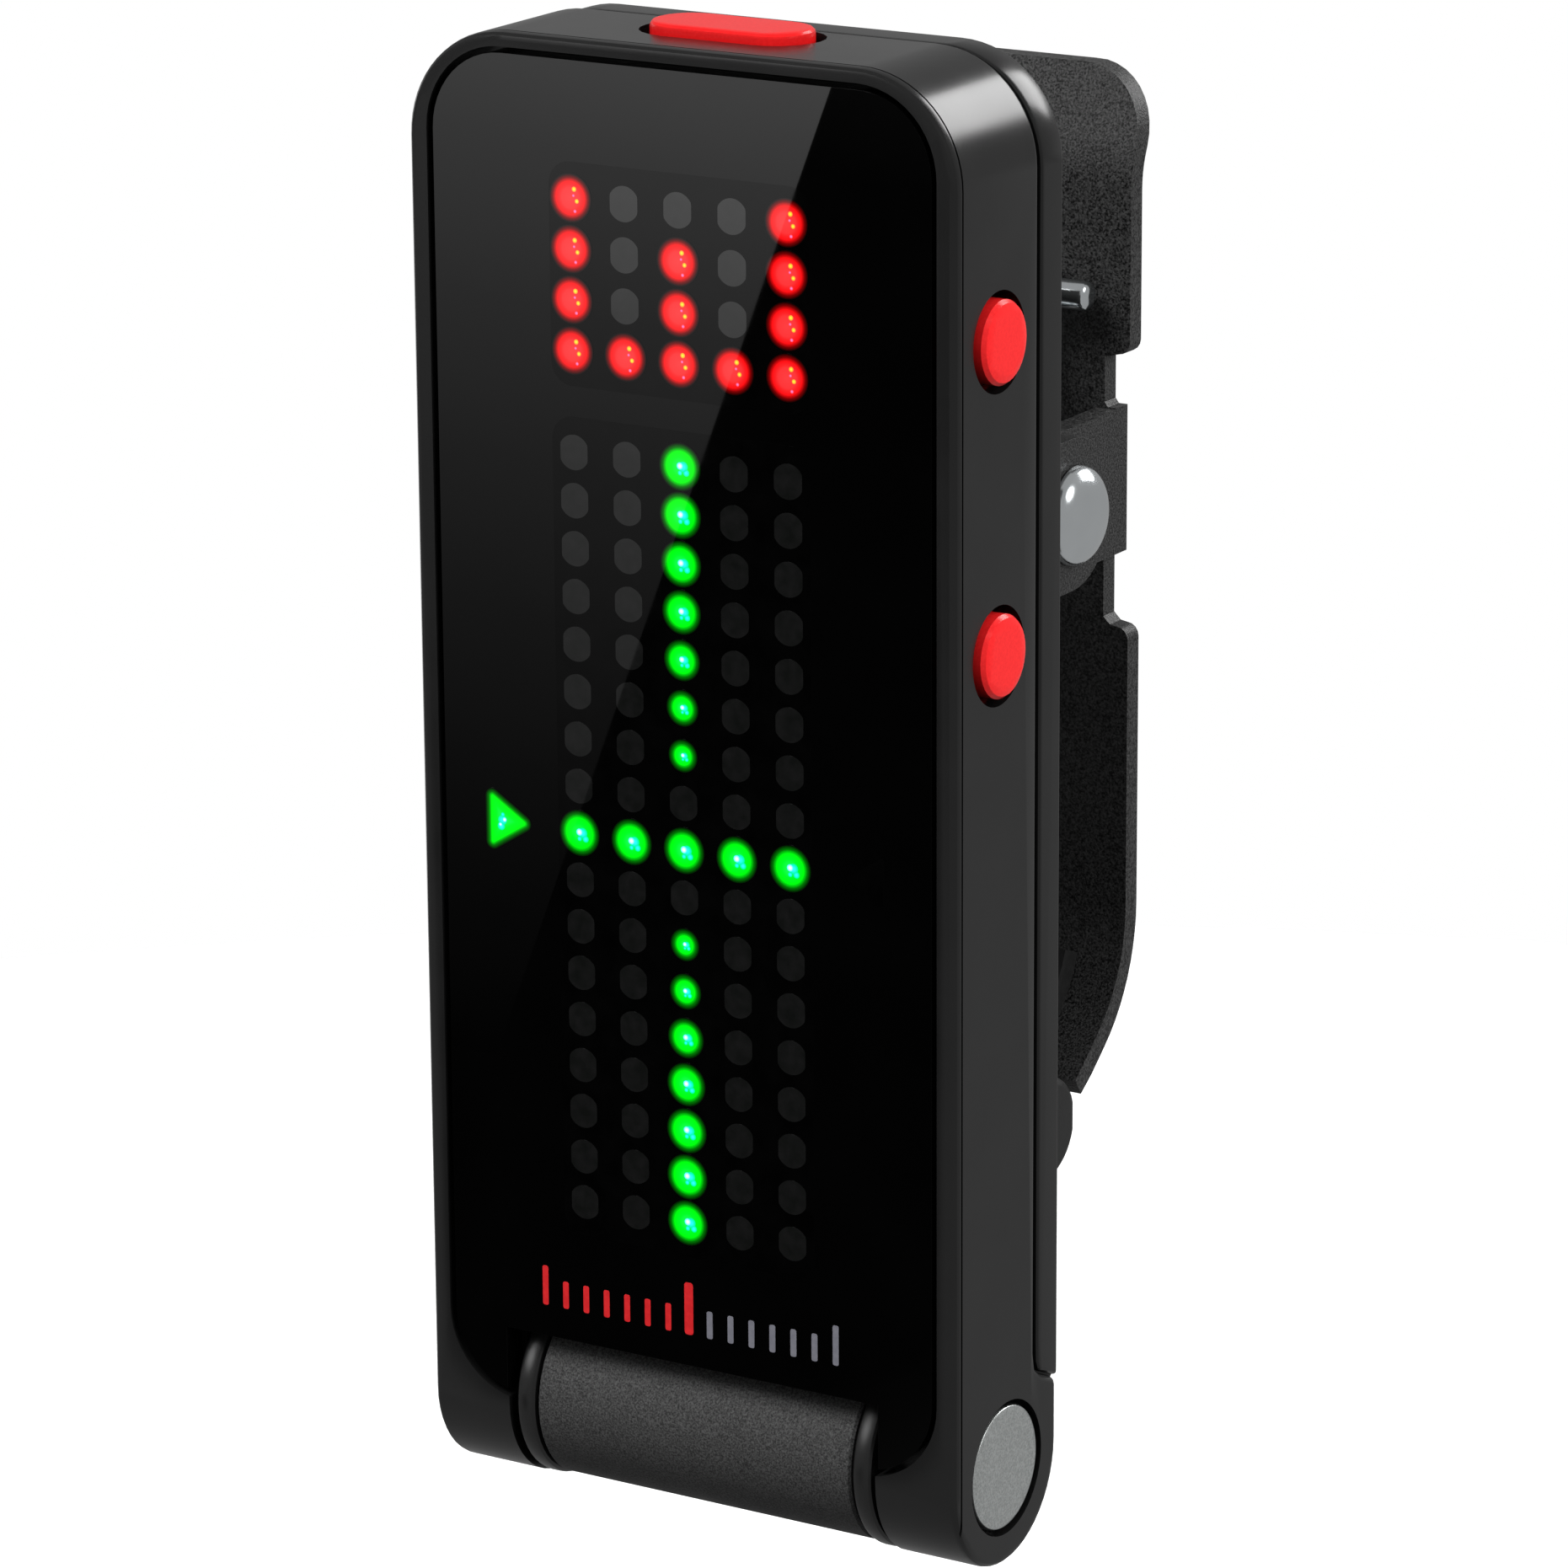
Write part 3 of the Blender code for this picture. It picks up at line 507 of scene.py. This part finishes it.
def display(finishes):
    """The lamp matrices, their panels and the arrows, as inlays in the window."""
    unlit, red, green, panels = (bmesh.new() for _ in range(4))
    yellow, violet, white, cyan = (bmesh.new() for _ in range(4))
    for row, column, x, z in lamp_places(UPPER_TOP_Z, UPPER_ROWS, UPPER_PITCH):
        if RED_PATTERN[row][column] != "#":
            unlit_lamp(unlit, x, z)
            continue
        glow_lamp(red, x, z, 1.0)
        dies(yellow, RED_DIES, x, z)
        dies(violet, RED_WIRES, x, z)
    sizes = lit_sizes()
    for row, column, x, z in lamp_places(LOWER_TOP_Z, LOWER_ROWS, LOWER_PITCH):
        size = sizes.get((row, column))
        if size is None:
            unlit_lamp(unlit, x, z)
            continue
        glow_lamp(green, x, z, size)
        dies(white, GREEN_DIES, x, z, size, UPPER_DIE)
        dies(cyan, GREEN_WIRES, x, z, size)
    middle_z = LOWER_TOP_Z - MIDDLE_ROW * LOWER_PITCH
    arrow(green, -ARROW_OFFSET, middle_z, 1, lit=True)
    dies(white, ARROW_DIES, -ARROW_OFFSET, middle_z, above=UPPER_DIE)
    dies(cyan, ARROW_WIRES, -ARROW_OFFSET, middle_z)
    arrow(panels, ARROW_OFFSET, middle_z, -1, lit=False)
    half = (COLUMNS - 1) / 2 * COLUMN_PITCH + PANEL_MARGIN[0]
    for top, rows, pitch in ((UPPER_TOP_Z, UPPER_ROWS, UPPER_PITCH), (LOWER_TOP_Z, LOWER_ROWS, LOWER_PITCH)):
        bottom = top - (rows - 1) * pitch
        panel = rounded_rect(-half, half, bottom - PANEL_MARGIN[1], top + PANEL_MARGIN[1], PANEL_CORNER)
        inlay(panels, [panel], PANEL_PROUD)
    for name, bm, finish, slot_name in (
        ("unlit_lamps", unlit, "unlit", "dot_matrix"),
        ("red_lamps", red, "red_light", "dot_matrix"),
        ("green_lamps", green, "green_light", "dot_matrix"),
        ("red_lamp_dies", yellow, "yellow_die", "dot_matrix"),
        ("red_lamp_wires", violet, "violet_die", "dot_matrix"),
        ("green_lamp_dies", white, "white_die", "dot_matrix"),
        ("green_lamp_wires", cyan, "cyan_die", "dot_matrix"),
        ("matrix_panels", panels, "panel", "window"),
    ):
        piece(name, bm, finishes[finish], "head")


def arrow(bm, x, z, way, lit):
    """A triangle lamp whose tip points along way on X."""
    base_x = x - way * ARROW_DEPTH / 2
    corners = [(base_x, z - ARROW_HALF), (x + way * ARROW_DEPTH / 2, z), (base_x, z + ARROW_HALF)]
    middle = (x - way * ARROW_DEPTH / 6, z)

    def ring(share, r):
        """The triangle at a share of its size, with an arc of radius r round each corner."""
        points = []
        for cx, cz in corners:
            px, pz = middle[0] + (cx - middle[0]) * share, middle[1] + (cz - middle[1]) * share
            facing = math.atan2(pz - middle[1], px - middle[0])
            for j in range(-3, 4):
                a = facing + way * math.radians(20 * j)
                points.append((px + r * math.cos(a), pz + r * math.sin(a)))
        return points

    if lit:
        rings = [ring(share, r) for share, r, _ in ARROW_GLOW]
        inlay(bm, [*rings, [middle]], LAMP_PROUD, [*(reach for _, _, reach in ARROW_GLOW), 0.0])
    else:
        inlay(bm, [ring(1.0, ARROW_CORNER), [middle]], LAMP_PROUD)


def scale_marks(finishes):
    """A plain tuning scale, red on the flat side and grey on the sharp side."""
    flat, sharp = bmesh.new(), bmesh.new()
    for i in range(TICK_COUNT):
        offset = i - TICK_COUNT // 2
        height, width = TICK_HEIGHT, TICK_WIDTH
        if offset == 0:
            height, width = TICK_HEIGHT_ZERO, TICK_WIDTH_ZERO
        elif offset % TICKS_TO_LONG == 0:
            height = TICK_HEIGHT_LONG
        x, half = offset * TICK_PITCH, width / 2
        ring = rounded_rect(x - half, x + half, TICK_BASE_Z, TICK_BASE_Z + height, half * 0.6, 3)
        inlay(flat if offset <= 0 else sharp, [ring], LAMP_PROUD)
    piece("scale_marks_flat", flat, finishes["red_print"], "head")
    piece("scale_marks_sharp", sharp, finishes["grey_print"], "head")


def prism(bm, outline, x0, x1):
    """An outline in Y and Z, drawn out along X."""
    first = [bm.verts.new((x0, y, z)) for y, z in outline]
    second = [bm.verts.new((x1, y, z)) for y, z in outline]
    n = len(outline)
    for i in range(n):
        bm.faces.new((first[i], first[(i + 1) % n], second[(i + 1) % n], second[i]))
    bm.faces.new(list(reversed(first)))
    bm.faces.new(second)


def foot_seam_shade(finishes):
    """Thin dark sheets that close the seam between the back shell's lower edge and the feet: painted shade in the
    seam.
    """
    bm = bmesh.new()
    upper = [(y + SEAM_SHADE_HALF, z + SEAM_SHADE_HALF) for y, z in SEAM_SHADE_LINE]
    lower = [(y - SEAM_SHADE_HALF, z - SEAM_SHADE_HALF) for y, z in reversed(SEAM_SHADE_LINE)]
    outline = [(y + HEAD_FRONT, z) for y, z in upper + lower]
    for x0, x1 in (SEAM_SHADE_SPAN, (-SEAM_SHADE_SPAN[1], -SEAM_SHADE_SPAN[0])):
        prism(bm, outline, x0, x1)
    piece("foot_seam_shade", bm, finishes["rubber"], "head")


def tube(bm, path, r, sides=16):
    """A round wire along a path, with rounded ends."""
    path = [Vector(p) for p in path]
    ways = [(b - a).normalized() for a, b in zip(path, path[1:])]
    tangents = [ways[0], *((a + b).normalized() for a, b in zip(ways, ways[1:])), ways[-1]]
    side = tangents[0].orthogonal().normalized()
    stations = []
    for point, tangent in zip(path, tangents):
        side = (side - tangent * side.dot(tangent)).normalized()
        stations.append((point, side.copy(), tangent.cross(side), r))
    for end, tangent in ((0, -tangents[0]), (-1, tangents[-1])):
        point, u, w, _ = stations[end]
        cap = [
            (point - tangent * r * 0.5 * (1 - math.sin(a)), u, w, r * (0.35 + 0.65 * math.cos(a)))
            for a in (math.radians(i * 18) for i in range(6))
        ]
        stations = cap[::-1] + stations[1:] if end == 0 else stations[:-1] + cap
    rings = []
    for point, u, w, radius in stations:
        turns = [2 * math.pi * i / sides for i in range(sides)]
        rings.append([bm.verts.new(point + (u * math.cos(t) + w * math.sin(t)) * radius) for t in turns])
    for first, second in zip(rings, rings[1:]):
        for i in range(sides):
            face = bm.faces.new((first[i], first[(i + 1) % sides], second[(i + 1) % sides], second[i]))
            face.smooth = True
    bm.faces.new(rings[0])
    bm.faces.new(rings[-1])


def leg(x, way, end, leaves):
    """A spring leg's path, from its foot's end along X, round a bend and down to where it meets the coil."""
    corner = Vector((x, *end))
    foot = Vector((way * FOOT_END, *end))
    root = Vector(leaves)
    before = corner + (foot - corner).normalized() * LEG_BEND
    after = corner + (root - corner).normalized() * LEG_BEND
    shares = (i / BEND_STEPS for i in range(BEND_STEPS + 1))
    bend = [before.lerp(corner, t).lerp(corner.lerp(after, t), t) for t in shares]
    return [foot, foot.lerp(before, 0.5), *bend, after.lerp(root, 0.5)]


def torsion_spring(finishes):
    """The coil and the front leg stay with the clamp's base; the rear leg swings with the rear arm."""

    def leaves(end, way):
        dy, dz = end[0] - PIN_PLACE[0], end[1] - PIN_PLACE[1]
        return math.atan2(dz, dy) + way * math.acos(COIL_R / math.hypot(dy, dz))

    def on_coil(x, a):
        return (x, PIN_PLACE[0] + COIL_R * math.cos(a), PIN_PLACE[1] + COIL_R * math.sin(a))

    start = leaves(REAR_LEG_END, -1)
    finish = leaves(FRONT_LEG_END, 1) + 2 * math.pi * COIL_TURNS
    steps = round(COIL_STEPS * (finish - start) / (2 * math.pi))
    coil = []
    for i in range(steps + 1):
        share = i / steps
        coil.append(on_coil(COIL_HALF - 2 * COIL_HALF * share, start + (finish - start) * share))
    coil += reversed(leg(-COIL_HALF, -1, FRONT_LEG_END, coil[-1]))
    bm = bmesh.new()
    tube(bm, coil, WIRE_R)
    held = piece("torsion_spring_coil", bm, finishes["bright_steel"], "clamp_base")
    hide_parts("torsion_spring")
    rear = leg(COIL_HALF, 1, REAR_LEG_END, coil[0])
    rear += [on_coil(COIL_HALF, start + REAR_OVERLAP * i / BEND_STEPS) for i in range(BEND_STEPS + 1)]
    bm = bmesh.new()
    tube(bm, rear, WIRE_R)
    piece("torsion_spring_rear_leg", bm, finishes["bright_steel"], "rear_jaw")


# ---------------------------------------------------------------- CAD nodes


def smoothing_group():
    """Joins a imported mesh's loose triangles and shades it smooth, apart from its real edges."""
    group = bpy.data.node_groups.new("join_and_smooth", "GeometryNodeTree")
    group.interface.new_socket("Geometry", in_out="INPUT", socket_type="NodeSocketGeometry")
    group.interface.new_socket("Geometry", in_out="OUTPUT", socket_type="NodeSocketGeometry")
    nodes = group.nodes
    link = group.links.new
    start = nodes.new("NodeGroupInput")
    weld = nodes.new("GeometryNodeMergeByDistance")
    weld.inputs["Distance"].default_value = WELD * MM
    clear = nodes.new("GeometryNodeRemoveAttribute")
    clear.inputs["Name"].default_value = "custom_normal"
    faces = nodes.new("GeometryNodeSetShadeSmooth")
    faces.domain = "FACE"
    edges = nodes.new("GeometryNodeSetShadeSmooth")
    edges.domain = "EDGE"
    edges.inputs["Shade Smooth"].default_value = False
    angle = nodes.new("GeometryNodeInputMeshEdgeAngle")
    sharp = nodes.new("FunctionNodeCompare")
    sharp.operation = "GREATER_THAN"
    sharp.inputs["B"].default_value = SHARP_ANGLE
    end = nodes.new("NodeGroupOutput")
    link(start.outputs[0], weld.inputs["Geometry"])
    link(weld.outputs["Geometry"], clear.inputs["Geometry"])
    link(clear.outputs["Geometry"], faces.inputs["Geometry"])
    link(faces.outputs["Geometry"], edges.inputs["Geometry"])
    link(angle.outputs["Unsigned Angle"], sharp.inputs["A"])
    link(sharp.outputs["Result"], edges.inputs["Selection"])
    link(edges.outputs["Geometry"], end.inputs[0])
    return group


def carry_over(finishes):
    """Every CAD node keeps its shape and takes its finish from its slot."""
    group = smoothing_group()
    for name, obj in frame["nodes"].items():
        slot_name = obj.material_slots[0].material.name.split(".")[0]
        obj.material_slots[0].material = finishes[OWN_FINISH.get(name, slot_name)]
        smooth = obj.modifiers.new("join_and_smooth", "NODES")
        smooth.node_group = group
        if name in EASED:
            ease = obj.modifiers.new("eased_edges", "BEVEL")
            ease.width = EASED[name] * MM
            ease.segments = 3
            ease.limit_method = "ANGLE"
            ease.angle_limit = EASED_ANGLE
        weighted = obj.modifiers.new("flat_faces_first", "WEIGHTED_NORMAL")
        weighted.mode = "FACE_AREA_WITH_ANGLE"
        weighted.weight = 50
        weighted.keep_sharp = True


# ---------------------------------------------------------------- stage


def camera():
    data = bpy.data.cameras.new("camera")
    data.lens = CAMERA_LENS
    data.sensor_width = SENSOR
    data.clip_start = 0.01
    data.clip_end = 20.0
    obj = bpy.data.objects.new("camera", data)
    bpy.context.scene.collection.objects.link(obj)
    a, e, roll = (math.radians(v) for v in (CAMERA_AZIMUTH, CAMERA_ELEVATION, CAMERA_ROLL))
    back = Vector((math.sin(a) * math.cos(e), -math.cos(a) * math.cos(e), math.sin(e)))
    level = Vector((math.cos(a), math.sin(a), 0.0))
    rise = back.cross(level)
    right = level * math.cos(roll) + rise * math.sin(roll)
    up = rise * math.cos(roll) - level * math.sin(roll)
    turn = Matrix((right, up, back)).transposed().to_4x4()
    obj.matrix_world = Matrix.Translation(CAMERA_PLACE) @ turn
    bpy.context.scene.camera = obj


def area_light(name, aim, direction, size, power, along, glossy):
    """A softbox that looks at aim from a direction; along is its first side's direction."""
    data = bpy.data.lights.new(name, "AREA")
    data.shape = "RECTANGLE"
    data.size, data.size_y = size
    data.energy = power
    obj = bpy.data.objects.new(name, data)
    bpy.context.scene.collection.objects.link(obj)
    way = Vector(direction).normalized()
    side = Vector(along)
    side = (side - way * side.dot(way)).normalized()
    turn = Matrix((side, way.cross(side), way)).transposed().to_4x4()
    obj.matrix_world = Matrix.Translation(Vector(aim) + way * LIGHT_DISTANCE) @ turn
    obj.visible_glossy = glossy


def world():
    """White behind, soft light on matt surfaces, and a plain grey room to reflect in glossy ones."""
    w = bpy.data.worlds.new("studio")
    bpy.context.scene.world = w
    w.use_nodes = True
    tree = w.node_tree
    nodes, link = tree.nodes, tree.links.new
    nodes.clear()
    out = nodes.new("ShaderNodeOutputWorld")
    path = nodes.new("ShaderNodeLightPath")
    place = nodes.new("ShaderNodeTexCoord")

    def background(colour=WHITE, strength=1.0, source=None):
        n = nodes.new("ShaderNodeBackground")
        n.inputs["Color"].default_value = (*colour, 1.0)
        n.inputs["Strength"].default_value = strength
        if source is not None:
            link(source, n.inputs["Color"])
        return n.outputs[0]

    def ramp(source, *stops):
        n = nodes.new("ShaderNodeValToRGB")
        for element, (position, value) in zip(n.color_ramp.elements, stops):
            element.position = position
            element.color = (*grey(value), 1.0)
        link(source, n.inputs["Fac"])
        return n.outputs["Color"]

    def choose(fac, first, second):
        n = nodes.new("ShaderNodeMixShader")
        link(fac, n.inputs["Fac"])
        link(first, n.inputs[1])
        link(second, n.inputs[2])
        return n.outputs[0]

    def toward(direction):
        """The cosine between a ray and a direction."""
        n = nodes.new("ShaderNodeVectorMath")
        n.operation = "DOT_PRODUCT"
        n.inputs[1].default_value = Vector(direction).normalized()
        link(place.outputs["Generated"], n.inputs[0])
        return n.outputs["Value"]

    def add(first, second):
        n = nodes.new("ShaderNodeAddShader")
        link(first, n.inputs[0])
        link(second, n.inputs[1])
        return n.outputs[0]

    room = background(source=ramp(toward(DARK_CORNER), (DARK_START, ROOM), (DARK_FULL, DARK_ROOM)))
    for direction, inner, outer, shine in CARDS:
        edge, full = math.cos(math.radians(outer)), math.cos(math.radians(inner))
        room = add(room, background(source=ramp(toward(direction), (edge, 0.0), (full, shine))))
    height = nodes.new("ShaderNodeSeparateXYZ")
    link(place.outputs["Generated"], height.inputs[0])
    lift = nodes.new("ShaderNodeMapRange")
    lift.inputs["From Min"].default_value, lift.inputs["From Max"].default_value = SKY_HEIGHTS
    link(height.outputs["Z"], lift.inputs["Value"])
    sky = background(source=ramp(lift.outputs["Result"], (0.0, SKY_LOW), (1.0, SKY_HIGH)))
    lit = choose(path.outputs["Is Glossy Ray"], sky, room)
    link(choose(path.outputs["Is Camera Ray"], lit, background()), out.inputs["Surface"])


def floor():
    """Plain pale paper, well below the object."""
    paper = hazed("floor_paper", 40.0, grey(0.90), grey(0.92), detail=3.0, Roughness=0.9, Specular_IOR_Level=0.1)
    bm = bmesh.new()
    bmesh.ops.create_circle(bm, cap_ends=True, segments=96, radius=FLOOR_R)
    obj = mesh_object("floor", bm, paper.material)
    obj.location.z = FLOOR_Z * MM
    obj.visible_glossy = False
    obj.visible_diffuse = False


def glare_material():
    """A light whose strength follows the card's own "shade" value."""
    material = bpy.data.materials.new("glare_card")
    material.use_nodes = True
    tree = material.node_tree
    nodes, link = tree.nodes, tree.links.new
    nodes.clear()
    out = nodes.new("ShaderNodeOutputMaterial")
    shine = nodes.new("ShaderNodeEmission")
    shade = nodes.new("ShaderNodeAttribute")
    shade.attribute_name = "shade"
    ramp = nodes.new("ShaderNodeValToRGB")
    elements = ramp.color_ramp.elements
    while len(elements) < GLARE_STOPS:
        elements.new(0.5)
    for i, element in enumerate(elements):
        share = i / (GLARE_STOPS - 1)
        element.position = share
        value = GLARE_TOP * (math.exp(-GLARE_FALL * (1 - share)) - math.exp(-GLARE_FALL))
        element.color = (*grey(value), 1.0)
    link(shade.outputs["Fac"], ramp.inputs["Fac"])
    link(ramp.outputs["Color"], shine.inputs["Color"])
    link(shine.outputs[0], out.inputs["Surface"])
    return material


def glare_card():
    """A lit card that the window mirrors towards the camera, brightest at its top and with one straight edge."""
    eye = CAMERA_PLACE / MM
    mirrored = Vector((eye.x, 2 * FACE_Y - eye.y, eye.z))
    bm = bmesh.new()
    layer = bm.verts.layers.float.new("shade")
    for x, z, shade in GLARE_CORNERS:
        way = Vector((x, FACE_Y, z)) - mirrored
        corner = bm.verts.new(mirrored + way * (GLARE_CARD_Y - mirrored.y) / way.y)
        corner[layer] = shade
    bm.faces.new(bm.verts)
    obj = mesh_object("glare_card", bm, glare_material())
    obj.visible_camera = False
    obj.visible_diffuse = False
    obj.visible_shadow = False
    obj.visible_transmission = False


def lights():
    for name, (aim, direction, size, power, along, glossy) in LIGHTS.items():
        area_light(name, aim, direction, size, power, along, glossy)


def main():
    camera()
    world()
    floor()
    glare_card()
    lights()
    finishes = materials()
    carry_over(finishes)
    display(finishes)
    scale_marks(finishes)
    foot_seam_shade(finishes)
    torsion_spring(finishes)
    bpy.context.scene.view_settings.view_transform = "Standard"


main()
